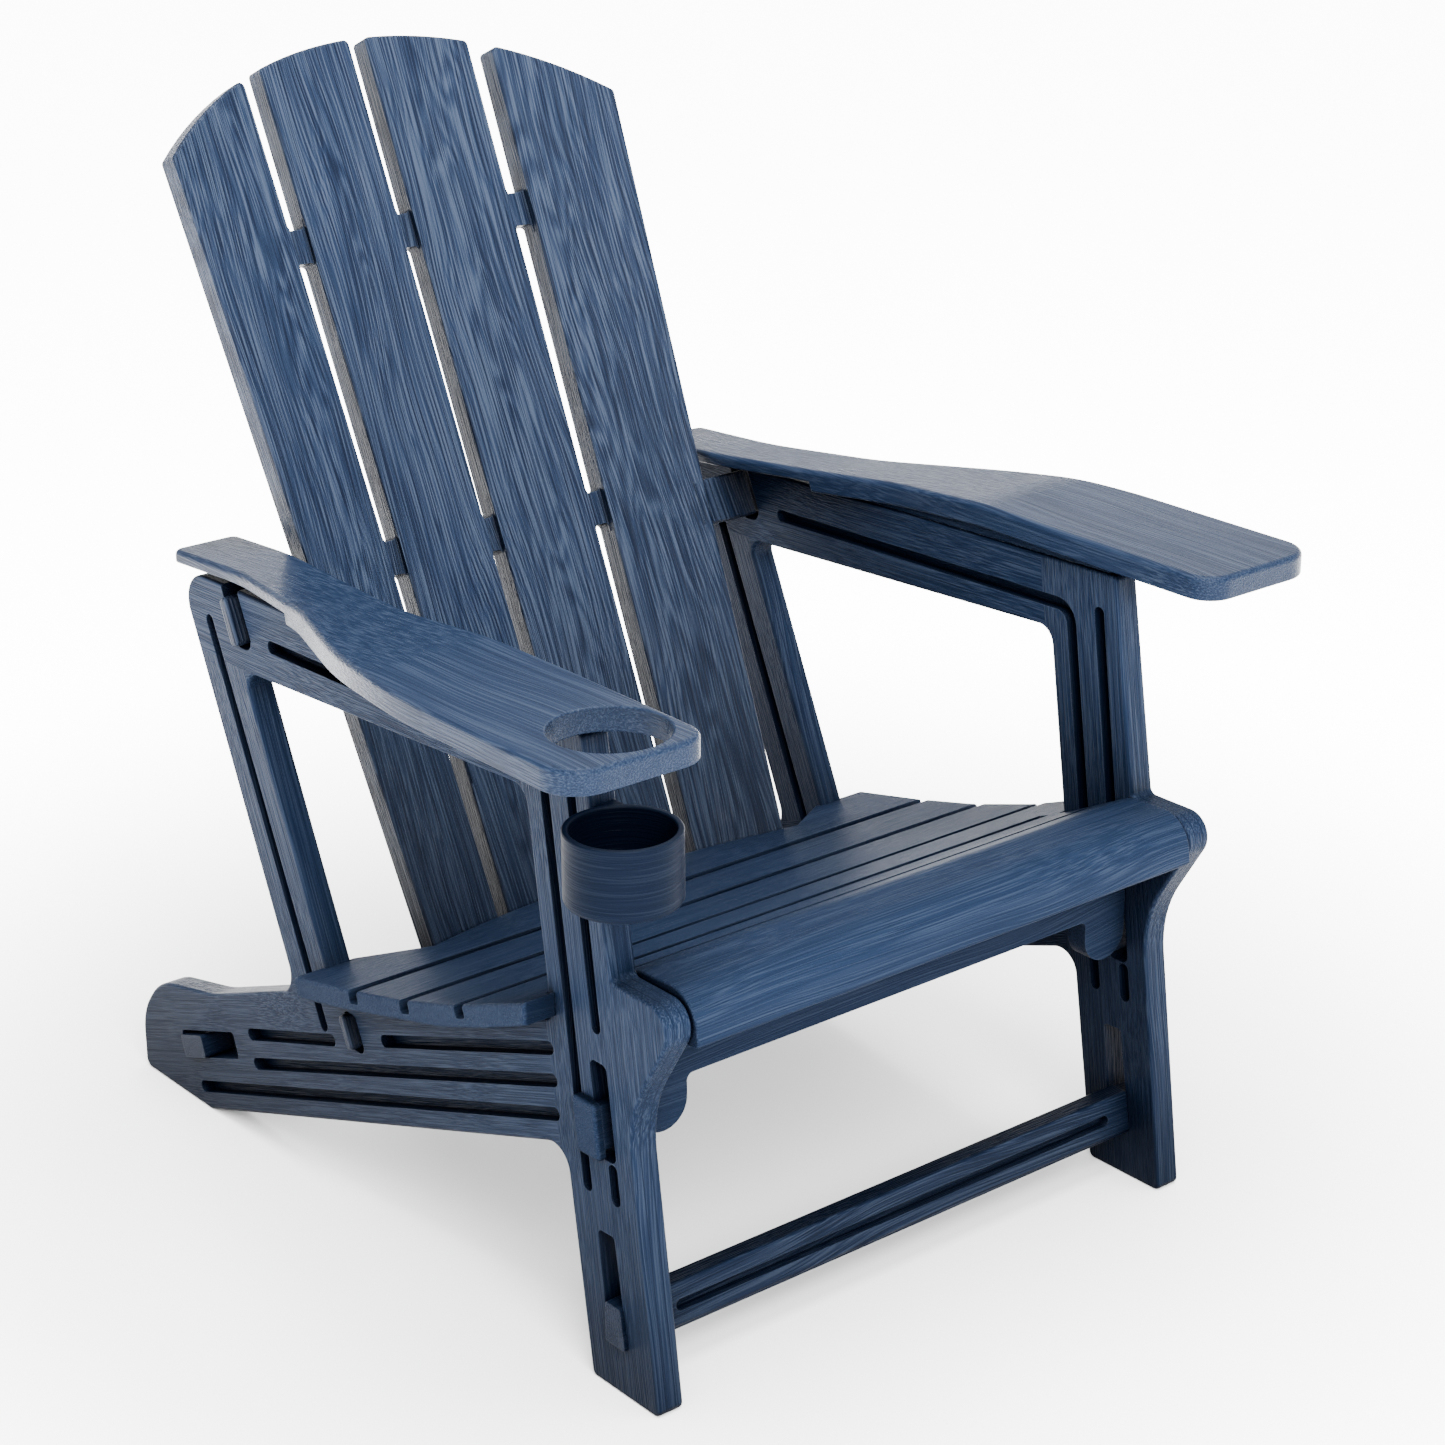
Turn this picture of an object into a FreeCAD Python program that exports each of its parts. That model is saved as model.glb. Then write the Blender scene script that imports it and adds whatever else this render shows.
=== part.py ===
import FreeCAD, Part
import math
import os

import Sketcher

# Adirondack chair of interlocking moulded panels.
# Frame: +X is the sitter's left, -Y is the front, +Z is up. The origin is on the ground,
# midway between the side frames and midway between the armrest fronts and the back's top.
# All lengths are in millimetres.

DIMENSIONS = [
    ("frame_half_width", 285.0, "middle of the chair to a side frame's outer face"),
    ("frame_thickness", 24.5, "thickness of a side frame"),
    ("frame_round", 3.0, "rounding along a side frame's edges"),
    ("groove_depth", 11.0, "depth of the blind grooves in both faces of a side frame"),
    ("groove_width", 11.0, "width of those grooves"),
    ("seat_half_width", 314.0, "middle of the chair to the end of a seat board"),
    ("seat_inner_half_width", 259.0, "half width of the seat between the side frames"),
    ("seat_groove_depth", 11.0, "depth of the grooves between the seat boards"),
    ("seat_groove_width", 13.0, "width of those grooves"),
    ("apron_depth", 20.0, "front to rear thickness of the apron under the seat's nose"),
    ("hook_proud", 7.0, "how far a hook stands out past a side frame"),
    ("hook_round", 3.0, "rounding along the outer edges of the hooks"),
    ("seat_end_round", 3.0, "rounding at the ends of the seat boards"),
    ("seat_nose_round", 2.0, "rounding at the ends of the seat's nose"),
    ("back_slope", 24.6, "lean of the back from upright, in degrees"),
    ("back_foot", -27.5, "where the line of the back's front face meets the ground"),
    ("back_low_radius", 530.0, "radius of the back's hollow front face at its bottom"),
    ("back_high_radius", 740.0, "radius of that face at the top of the back"),
    ("back_thickness", 22.0, "thickness of a back slat"),
    ("back_top", 1003.5, "top of the back, measured up its slope"),
    ("back_bottom", 160.0, "bottom of the back, measured up its slope"),
    ("back_arch_radius", 350.0, "radius of the arched top of the back"),
    ("slat_corner_round", 5.0, "rounding at the ends of each slat's arched top"),
    ("slat_edge_round", 2.5, "rounding along a slat's front edges"),
    ("bridge_recess", 6.0, "how far the bridges between slats lie behind the slat faces"),
    ("arm_half_width", 380.0, "middle of the chair to an armrest's outer edge"),
    ("arm_top", 562.0, "height of the armrest's level front part"),
    ("arm_skirt", 20.0, "depth of the armrest's side edge"),
    ("arm_tail_thickness", 11.0, "thickness of the armrest's thin rear end"),
    ("arm_round", 4.5, "rounding along the top of an armrest"),
    ("arm_under_round", 1.6, "rounding along its underside"),
    ("cup_hole_radius", 45.0, "radius of the drink hole through the armrest"),
    ("cup_radius", 44.0, "outer radius of the cup below the armrest"),
    ("cup_inner_radius", 39.0, "inner radius of the cup"),
    ("cup_height", 57.0, "height of the cup"),
    ("cup_floor", 5.0, "thickness of the cup's floor"),
    ("cup_foot_round", 5.0, "rounding around the cup's foot"),
    ("rim_round", 1.5, "rounding around the cup's rim and the drink hole"),
    ("bar_half_length", 260.0, "half length of the front bar between the side frames"),
    ("bar_groove_depth", 7.0, "depth of the long groove in the front bar"),
    ("tenon_gap", 0.4, "space around each tenon or hook in its opening"),
]

SHEET = "Sizes"
PLANE_NAMES = {"side": "YZ_Plane", "front": "XZ_Plane", "plan": "XY_Plane"}
SIDES = (-1, 1)

doc = FreeCAD.newDocument("adirondack_chair")


def make_sheet():
    """Put the driving dimensions in a spreadsheet, one alias to a row."""
    sheet = doc.addObject("Spreadsheet::Sheet", SHEET)
    for row, (alias, value, note) in enumerate(DIMENSIONS, start=1):
        sheet.set("A%d" % row, str(value))
        sheet.setAlias("A%d" % row, alias)
        sheet.set("B%d" % row, note)
    doc.recompute()
    return sheet


sizes = make_sheet()


def size(alias):
    return float(sizes.get(alias))


# ---------------------------------------------------------------- lines of the side view
# The chair's side view hangs on a few straight lines. Each gives one coordinate from the other.

LEG_LEAN = 0.14
POST_FRONT_LEAN = 0.16
RAIL_SLOPE = -0.357
UPRIGHT_LEAN = 0.454
FRAME_TOP_FALL = 0.0335


def post_rear(height):
    """Rear edge of the front post."""
    return -251.5 + LEG_LEAN * (height - 317.0)


def post_front(height):
    """Front edge of the front post, above the seat."""
    return -332.0 + POST_FRONT_LEAN * (height - 350.0)


def upright_front(height):
    """Front edge of the leaning rear upright."""
    return 61.0 + UPRIGHT_LEAN * (height - 221.0)


def frame_top(depth):
    """Top edge of a side frame."""
    return 536.0 - FRAME_TOP_FALL * (depth - post_front(536.0))


# The underside of the seat boards, rear to front. The side frames' rails carry it.
SEAT_UNDERSIDE = [(63.0, 197.0), (-4.0, 212.0), (-93.0, 236.0), (-149.0, 251.0), (-203.0, 271.0)]
SEAT_UNDERSIDE_FRONT = (-256.0, 293.0)

# The top of the seat boards, rear to front.
SEAT_TOP = [(67.0, 215.5), (-16.0, 234.0), (-90.0, 253.0), (-165.0, 277.0), (-261.0, 315.0)]


# ---------------------------------------------------------------- outlines and sketches

def vector(point):
    return FreeCAD.Vector(point[0], point[1], 0)


def outline(corners):
    """Closed outline through (across, up, radius) corners, with a tangent arc at each radius."""
    ends = []
    arcs = []
    for index, corner in enumerate(corners):
        here = vector(corner)
        to_last = (vector(corners[index - 1]) - here).normalize()
        to_next = (vector(corners[(index + 1) % len(corners)]) - here).normalize()
        radius = corner[2] if len(corner) > 2 else 0.0
        if radius <= 0.0:
            ends.append((here, here))
            continue
        half_angle = to_last.getAngle(to_next) / 2.0
        reach = radius / math.tan(half_angle)
        inward = (to_last + to_next).normalize()
        centre = here + inward * (radius / math.sin(half_angle))
        start = here + to_last * reach
        end = here + to_next * reach
        arcs.append(Part.Arc(start, centre - inward * radius, end))
        ends.append((start, end))
    lines = []
    for index in range(len(corners)):
        start = ends[index - 1][1]
        end = ends[index][0]
        if start.distanceToPoint(end) > 0.001:
            lines.append(Part.LineSegment(start, end))
    return lines + arcs


def pill(start, end, width):
    """Closed outline of a straight slot with round ends; start and end are its tips."""
    along = (vector(end) - vector(start)).normalize()
    across = FreeCAD.Vector(-along.y, along.x, 0) * (width / 2.0)
    radius = width / 2.0
    low = vector(start) + along * radius
    high = vector(end) - along * radius
    return [
        Part.LineSegment(low + across, high + across),
        Part.Arc(high + across, vector(end), high - across),
        Part.LineSegment(high - across, low - across),
        Part.Arc(low - across, vector(start), low + across),
    ]


def bent_pill(start, bend, end, width, bend_radius):
    """Closed outline of a slot that turns once, at bend, with round ends."""
    def side_points(tip, towards, side):
        along = (vector(towards) - vector(tip)).normalize()
        across = FreeCAD.Vector(-along.y, along.x, 0) * (side * width / 2.0)
        return vector(tip) + across

    def crossing(side):
        first = Part.Line(side_points(start, bend, side), side_points(bend, start, -side))
        second = Part.Line(side_points(end, bend, -side), side_points(bend, end, side))
        point = first.intersect(second)[0]
        return (point.X, point.Y)

    end_round = width / 2.0 - 0.05
    left_start = side_points(start, bend, 1)
    right_start = side_points(start, bend, -1)
    left_end = side_points(end, bend, -1)
    right_end = side_points(end, bend, 1)
    return outline([
        (left_start.x, left_start.y, end_round),
        crossing(1) + (bend_radius + width / 2.0,),
        (left_end.x, left_end.y, end_round),
        (right_end.x, right_end.y, end_round),
        crossing(-1) + (bend_radius - width / 2.0,),
        (right_start.x, right_start.y, end_round),
    ])


def leaning_slot(centre, width, height, lean, radius):
    """Four-cornered opening whose two long edges lean back by the given amount."""
    across, up = centre
    corners = []
    for right, top in ((-1, -1), (1, -1), (1, 1), (-1, 1)):
        rise = top * height / 2.0
        corners.append((across + lean * rise + right * width / 2.0, up + rise, radius))
    return corners


def is_round(edge, radius):
    """A whole circle of the radius, lying level."""
    box = edge.BoundBox
    return abs(box.XLength - 2.0 * radius) < 0.05 and abs(box.YLength - 2.0 * radius) < 0.05


def new_body(label):
    body = doc.addObject("PartDesign::Body", label)
    body.Label = label
    return body


def sketch_on(body, name, view, shapes, offset=None):
    """Sketch on one of the body's own planes, moved along its normal by an expression."""
    sketch = body.newObject("Sketcher::SketchObject", name)
    for plane in body.Origin.OriginFeatures:
        if plane.Role == PLANE_NAMES[view]:
            sketch.AttachmentSupport = [(plane, "")]
    sketch.MapMode = "FlatFace"
    if offset:
        sketch.setExpression("AttachmentOffset.Base.z", offset)
    for shape in shapes:
        sketch.addGeometry(shape, False)
    return sketch


def bind_radius(sketch, edge, expression):
    """Hold a sketched circle's radius to the sheet."""
    index = sketch.addConstraint(Sketcher.Constraint("Radius", edge, sketch.Geometry[edge].Radius))
    sketch.setExpression("Constraints[%d]" % index, expression)


def pad(body, sketch, length, middle=False, reverse=False):
    """Add material over a sketch, for a length given as an expression."""
    feature = body.newObject("PartDesign::Pad", sketch.Name + "_pad")
    feature.Profile = sketch
    feature.setExpression("Length", length)
    feature.Midplane = middle
    feature.Reversed = reverse
    doc.recompute()
    return feature


def pocket(body, sketch, length=None, middle=False, reverse=False):
    """Cut a sketch out of the body, right through unless a length is given."""
    before = body.Shape.Volume
    feature = body.newObject("PartDesign::Pocket", sketch.Name + "_pocket")
    feature.Profile = sketch
    if length:
        feature.setExpression("Length", length)
    else:
        feature.Type = "ThroughAll"
    feature.Midplane = middle
    feature.Reversed = reverse
    doc.recompute()
    if body.Shape.Volume >= before - 1.0:
        raise RuntimeError("%s cuts nothing" % feature.Name)
    return feature


def fillet(body, name, radius, chosen):
    """Round the edges that the test picks, at a radius given as an expression."""
    base = body.Tip
    names = []
    for number, edge in enumerate(base.Shape.Edges, start=1):
        if chosen(edge):
            names.append("Edge%d" % number)
    feature = body.newObject("PartDesign::Fillet", name)
    feature.Base = (base, names)
    feature.setExpression("Radius", radius)
    doc.recompute()
    if feature.Shape.isNull() or not feature.Shape.isValid():
        raise RuntimeError("%s fails" % feature.Name)
    return feature


# ---------------------------------------------------------------- side frames

WINDOW_LOW = 42.0
CUP_TENON = (12.0, 30.0, 10.0)
CUP_TENON_HEIGHT = 450.0
ARM_TENONS = (-275.0, -25.0)
ARM_TENON = (12.0, 34.0, 16.0)


def frame_outline():
    """Leg, knee, post, top rail, leaning upright, sloping lower rail and rear foot."""
    return [
        (-383, 0, 6), (-299, 0, 6), (-270, 191, 20), (268, 0, 10), (383, 0, 9), (383, 56, 60),
        (350, 98, 70), (255, 120, 150), (112, 177, 22), (264, 517, 26), (post_front(536.0), 536, 6),
        (-332, 348.5, 6), (-413, 348.5, 20.5), (-350, 246, 100),
    ]


# The rails stop this far under the seat boards.
RAIL_DROP = 0.4


def frame_opening():
    """The large opening between the post, the armrest, the upright and the seat."""
    corners = [(post_rear(472.0), 472.0, 16), (165.0, 450.5, 12), (upright_front(200.0), 199.2, 6)]
    for depth, height in SEAT_UNDERSIDE[1:]:
        corners.append((depth, height - RAIL_DROP, 200))
    corners.append((post_rear(291.5), 291.5, 6))
    return corners


def frame_grooves(width):
    """Blind grooves that lighten both faces and leave a thin web between them."""
    grooves = [bent_pill((-299, 162), (-252.5, 496.5), (124, 484.5), width, 17.5)]
    tips = [
        ((-313, 300), (-285, 505)),
        ((-334, 163), (-329.5, 197)),
        ((-258, 267), (-19, 180)),
        ((52, 153), (194, 104)),
        ((-262, 241), (187, 78)),
        ((-264, 213), (282, 18)),
        ((66, 156), (217, 487)),
    ]
    for start, end in tips:
        grooves.append(pill(start, end, width))
    return grooves


SEAT_SLOT_CENTRE = (-319.0, 237.5)
SEAT_SLOT_WIDTH = 21.0
BACK_LEAN = 0.4577
BACK_PILL_CENTRE = (22.0, 172.0)
BACK_NOTCH_FLOOR = 471.0
REAR_WINDOW = [(312, 63, 4), (221, 95.5, 4), (213, 72, 4), (303, 39, 4)]
FRONT_WINDOW = [(-310, 134, 4), (-330, 135, 4), (-345.5, WINDOW_LOW, 3), (-320.5, WINDOW_LOW, 3)]


def back_notch():
    """Notch in the top edge that takes the back's upper hook."""
    middle = (BACK_NOTCH_FLOOR + 535.0) / 2.0
    front = 145.8 + BACK_LEAN * (middle - BACK_NOTCH_FLOOR)
    return leaning_slot((front + 13.0, middle), 26.0, 535.0 - BACK_NOTCH_FLOOR, BACK_LEAN, 9)


def frame_slots():
    """Openings right through, which take the hooks of the other panels."""
    return [
        outline(leaning_slot(SEAT_SLOT_CENTRE, SEAT_SLOT_WIDTH, 79.0, LEG_LEAN, 6)),
        outline(leaning_slot(BACK_PILL_CENTRE, 20.0, 32.0, BACK_LEAN, 6)),
        outline(back_notch()),
        outline(FRONT_WINDOW),
        outline(REAR_WINDOW),
    ]


def is_in_side_face(edge, half):
    """An edge that lies in one of two faces this far either side of the middle."""
    box = edge.BoundBox
    return box.XLength < 0.01 and abs(abs(box.XMin) - half) < 0.01


def make_side_frame(label, side, with_cup):
    body = new_body(label)
    half = size("frame_thickness") / 2.0
    face = SHEET + ".frame_thickness / 2"
    profile = sketch_on(body, label + "_profile", "side", [outline(frame_outline())])
    pad(body, profile, SHEET + ".frame_thickness", middle=True)
    opening = sketch_on(body, label + "_opening", "side", [outline(frame_opening())])
    pocket(body, opening, SHEET + ".frame_thickness + 2", middle=True)
    fillet(body, label + "_edges", SHEET + ".frame_round", lambda edge: is_in_side_face(edge, half))
    slots = sketch_on(body, label + "_slots", "side", frame_slots())
    pocket(body, slots, SHEET + ".frame_thickness + 2", middle=True)
    for name, sign in (("_outer", 1), ("_inner", -1)):
        grooves = sketch_on(body, label + name, "side", frame_grooves(size("groove_width")),
                            "%d * %s" % (sign, face))
        pocket(body, grooves, SHEET + ".groove_depth", reverse=sign < 0)
    for number, depth in enumerate(ARM_TENONS):
        width, length, sink = ARM_TENON
        bottom = frame_top(depth) - sink - 1.0
        mortise = [(depth - length / 2, bottom), (depth + length / 2, bottom),
                   (depth + length / 2, bottom + 30.0), (depth - length / 2, bottom + 30.0)]
        sketch = sketch_on(body, "%s_mortise%d" % (label, number), "side", [outline(mortise)])
        pocket(body, sketch, "%g" % width, middle=True)
    if with_cup:
        width, tall, sink = CUP_TENON
        front = post_front(CUP_TENON_HEIGHT)
        mortise = leaning_slot((front, CUP_TENON_HEIGHT), 2.0 * sink + 2.0, tall, LEG_LEAN, 0)
        sketch = sketch_on(body, label + "_cup_mortise", "side", [outline(mortise)])
        pocket(body, sketch, "%g" % width, middle=True)
    body.setExpression("Placement.Base.x", "%d * (%s.frame_half_width - %s)" % (side, SHEET, face))
    return body


# ---------------------------------------------------------------- seat

APRON_FRONT = -330.0
APRON_LOW = 250.0
LUG_LOW = 209.0
LUG_INNER = 213.0
ABOVE_SEAT = 400.0
HOOK_ARM_HEIGHT = 224.0
FACE_GAP = 0.3
HOOK_ROOT = 10.0
GROOVE_PLACES = (-23.5, -97.5, -173.5)
SHORT_GROOVE_PLACES = (-239.0, -293.0)


def seat_height(depth):
    """Height of the seat's top at a depth, along its straight runs."""
    runs = SEAT_TOP + [(-331.0, 350.0)]
    for rear, front in zip(runs, runs[1:]):
        if front[0] <= depth <= rear[0]:
            share = (depth - rear[0]) / (front[0] - rear[0])
            return rear[1] + share * (front[1] - rear[1])
    return runs[-1][1]


def seat_profile():
    """Boards that rise to the front, a rounded nose and its turned-in lip."""
    corners = [SEAT_TOP[0] + (5,)]
    for depth, height in SEAT_TOP[1:]:
        corners.append((depth, height, 200))
    corners += [(-331, 351, 30), (-396, 355, 30), (-402, 312.5, 5), (-388, 311, 4),
                (-372, 334, 18), (-325, 328, 30), SEAT_UNDERSIDE_FRONT + (60,)]
    for depth, height in reversed(SEAT_UNDERSIDE[1:]):
        corners.append((depth, height, 200))
    corners.append(SEAT_UNDERSIDE[0] + (5,))
    return corners


def groove_section(depth, width, sink):
    """Cross-section of a groove between boards, cut square to the seat's slope."""
    rise = (seat_height(depth + 10.0) - seat_height(depth - 10.0)) / 20.0
    along = FreeCAD.Vector(1.0, rise, 0).normalize()
    down = FreeCAD.Vector(along.y, -along.x, 0)
    top = FreeCAD.Vector(depth, seat_height(depth), 0)
    corners = []
    for right, low in ((-1, -8.0), (-1, sink), (1, sink), (1, -8.0)):
        point = top + along * (right * width / 2.0) + down * low
        corners.append((point.x, point.y, 2.5 if low > 0 else 0))
    return outline(corners)


def seat_side_cut(side):
    """Plan of what is cut away beside the nose, so that the post and knee fit in."""
    near = side * size("seat_inner_half_width")
    far = side * (size("frame_half_width") + 0.5)
    edge = side * (size("seat_half_width") + 10.0)
    behind_post = post_rear(315.0) + 1.0
    return outline([(near, -430), (edge, -430), (edge, -262), (far, -262),
                    (far, behind_post), (near, behind_post)])


def seat_rear_cut():
    """Plan of the rear edge: straight behind the frames, hollow behind the sitter."""
    straight = SEAT_TOP[0][0]
    behind = straight + 60.0
    wide = size("seat_half_width") + 26.0
    points = [(wide, straight), (262, straight), (200, 24), (-200, 24), (-262, straight),
              (-wide, straight), (-wide, behind), (wide, behind)]
    corners = [vector(point) for point in points]
    path = [Part.Arc(corners[2], vector((0, 57)), corners[3])]
    for index in (0, 1, 3, 4, 5, 6, 7):
        path.append(Part.LineSegment(corners[index], corners[(index + 1) % len(corners)]))
    return path


def apron_outline():
    """Front view of the apron, with a round-ended lug at each side frame."""
    half = size("seat_inner_half_width")
    lug_radius = (half - LUG_INNER) / 2.0 - 0.1
    right = [(half, 322), (half, LUG_LOW, lug_radius), (LUG_INNER, LUG_LOW, lug_radius),
             (LUG_INNER, APRON_LOW, 6)]
    left = [(-corner[0],) + corner[1:] for corner in reversed(right)]
    return outline(right + left)


def seat_hook(side_gap):
    """Side view of the arm that passes through the slot in a side frame, against its rear."""
    thickness = 9.0
    rear = SEAT_SLOT_CENTRE[0] + SEAT_SLOT_WIDTH / 2.0 - side_gap
    rise = HOOK_ARM_HEIGHT - SEAT_SLOT_CENTRE[1]
    centre = (rear - thickness / 2.0 + LEG_LEAN * rise, HOOK_ARM_HEIGHT)
    return leaning_slot(centre, thickness, 36.0, LEG_LEAN, 2)


def seat_hook_head():
    """Side view of the head that stands over the slot's mouth and the face behind it."""
    return leaning_slot((-305.6, 220.5), 28.4, 46.0, LEG_LEAN, 4)


def make_seat():
    label = "seat_panel"
    body = new_body(label)
    boards = sketch_on(body, "seat_boards", "side", [outline(seat_profile())])
    pad(body, boards, "2 * %s.seat_half_width" % SHEET, middle=True)
    rear = sketch_on(body, "seat_rear", "plan", [seat_rear_cut()], "%g" % ABOVE_SEAT)
    pocket(body, rear)
    sides = sketch_on(body, "seat_sides", "plan", [seat_side_cut(side) for side in SIDES],
                      "%g" % ABOVE_SEAT)
    pocket(body, sides)
    half = size("seat_half_width")
    fillet(body, "seat_end_rounds", SHEET + ".seat_end_round",
           lambda edge: abs(abs(edge.BoundBox.XMin) - half) < 0.01 and edge.BoundBox.XLength < 0.01)
    inner = size("seat_inner_half_width")
    fillet(body, "seat_nose_rounds", SHEET + ".seat_nose_round",
           lambda edge: abs(abs(edge.BoundBox.XMin) - inner) < 0.01 and edge.BoundBox.XLength < 0.01
           and edge.BoundBox.ZLength > 0.01 and edge.BoundBox.YLength > 0.01)
    width = size("seat_groove_width")
    depth = size("seat_groove_depth")
    long_grooves = [groove_section(place, width, depth) for place in GROOVE_PLACES]
    grooves = sketch_on(body, "seat_grooves", "side", long_grooves)
    pocket(body, grooves, "2 * %s.seat_half_width + 2" % SHEET, middle=True)
    short_grooves = [groove_section(place, width, depth) for place in SHORT_GROOVE_PLACES]
    grooves = sketch_on(body, "seat_short_grooves", "side", short_grooves)
    pocket(body, grooves, "2 * (%s.seat_inner_half_width - 8)" % SHEET, middle=True)
    for number, side in enumerate(SIDES):
        far = side * (size("frame_half_width") - size("frame_thickness") - 0.5)
        notch = [(44, 190), (44, 195), (upright_front(207.0) - 0.6, 207),
                 (upright_front(240.0) - 0.6, 240), (110, 240), (110, 190)]
        sketch = sketch_on(body, "seat_upright_notch%d" % number, "side", [outline(notch)], "%g" % far)
        pocket(body, sketch, "%s.frame_thickness + 1" % SHEET, reverse=side > 0)
    apron = sketch_on(body, "seat_apron", "front", [apron_outline()], "%g" % -APRON_FRONT)
    pad(body, apron, SHEET + ".apron_depth", reverse=True)
    for number, side in enumerate(SIDES):
        start = side * (size("seat_inner_half_width") - HOOK_ROOT)
        arm = sketch_on(body, "seat_hook_arm%d" % number, "side",
                        [outline(seat_hook(size("tenon_gap")))], "%g" % start)
        pad(body, arm, "%s.frame_half_width - %s.seat_inner_half_width + %g"
            % (SHEET, SHEET, HOOK_ROOT + 2.0 * FACE_GAP), reverse=side < 0)
        face = side * (size("frame_half_width") + FACE_GAP)
        head = sketch_on(body, "seat_hook_head%d" % number, "side",
                         [outline(seat_hook_head())], "%g" % face)
        pad(body, head, SHEET + ".hook_proud", reverse=side < 0)
    tip = size("frame_half_width") + FACE_GAP + size("hook_proud")
    fillet(body, "seat_hook_rounds", SHEET + ".hook_round", lambda edge: is_in_side_face(edge, tip))
    return body


# ---------------------------------------------------------------- back
# The back is made upright and then leant: its own +Z runs up the slope, its own +Y is the
# rearward normal, and its front face touches the origin at the middle.

BRIDGES = ((537.0, 567.0), (815.0, 845.0))
WING = (511.0, 553.0)
BLANK_HALF_WIDTH = 240.0
WING_START = 200.0
UPPER_HOOK_START = 240.0
LOWER_HOOK_START = 180.0
RIGHT_THROUGH = 400.0


def slat_edges(height):
    """Half widths at a height up the slope: centre gap, outer gap's two sides, outer edge."""
    up = height - 231.0
    return (5.5 + 0.0038 * up, 97.0 + 0.0157 * up, 110.0 + 0.0265 * up, 194.0 + 0.054 * up)


def arch_height(across):
    radius = size("back_arch_radius")
    return size("back_top") - radius + math.sqrt(radius ** 2 - across ** 2)


def arc_depth(radius, across):
    return radius - math.sqrt(radius ** 2 - across ** 2)


def hollow_depth(across, height):
    """How far the hollow front face stands forward of its middle, at a height up the slope."""
    low = size("back_bottom")
    share = (height - low) / (size("back_top") - low)
    at_low = arc_depth(size("back_low_radius"), across)
    at_high = arc_depth(size("back_high_radius"), across)
    return at_low + share * (at_high - at_low)


def hollow_section(radius):
    """Plan section of the back: a band between two arcs about the same axis."""
    half = BLANK_HALF_WIDTH
    outer = radius + size("back_thickness")

    def at(distance, across):
        return vector((across, math.sqrt(distance ** 2 - across ** 2) - radius))

    return [
        Part.Arc(at(radius, -half), at(radius, 0.0), at(radius, half)),
        Part.LineSegment(at(radius, half), at(outer, half)),
        Part.Arc(at(outer, half), at(outer, 0.0), at(outer, -half)),
        Part.LineSegment(at(outer, -half), at(radius, -half)),
    ]


def gap_outlines():
    """Front view of the open runs of the three gaps, between and beyond the bridges."""
    low = size("back_bottom") - 20.0
    stops = [low] + [level for bridge in BRIDGES for level in bridge] + [size("back_top") + 40.0]
    shapes = []
    for start, end in zip(stops[0::2], stops[1::2]):
        round_low = 4 if start > low else 0
        round_high = 4 if end < size("back_top") else 0
        centre = [(-slat_edges(start)[0], start, round_low), (slat_edges(start)[0], start, round_low),
                  (slat_edges(end)[0], end, round_high), (-slat_edges(end)[0], end, round_high)]
        shapes.append(outline(centre))
        for sign in SIDES:
            gap = [(sign * slat_edges(start)[1], start, round_low),
                   (sign * slat_edges(start)[2], start, round_low),
                   (sign * slat_edges(end)[2], end, round_high),
                   (sign * slat_edges(end)[1], end, round_high)]
            shapes.append(outline(gap))
    return shapes


def back_front_view():
    """Front view of all four slats together: tapered sides under one arch."""
    low = size("back_bottom")
    top_edge = slat_edges(915.0)[3]
    crest = vector((0, size("back_top")))
    right = vector((top_edge, arch_height(top_edge)))
    left = vector((-top_edge, arch_height(top_edge)))
    low_right = vector((slat_edges(low)[3], low))
    low_left = vector((-slat_edges(low)[3], low))
    return [Part.LineSegment(low_left, low_right), Part.LineSegment(low_right, right),
            Part.Arc(right, crest, left), Part.LineSegment(left, low_left)]


def outside_back():
    """Everything around the four slats, as a frame-shaped cut."""
    wide = 300.0
    low = size("back_bottom") - 30.0
    high = size("back_top") + 60.0
    return [back_front_view(), outline([(-wide, low), (wide, low), (wide, high), (-wide, high)])]


def upper_hook():
    """Side view of the fin that drops into the notch at the top of a side frame."""
    return [(-27.0, WING[0], 4), (-16.0, WING[0], 4), (-16.0, WING[1], 4), (-27.0, WING[1], 4)]


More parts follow.
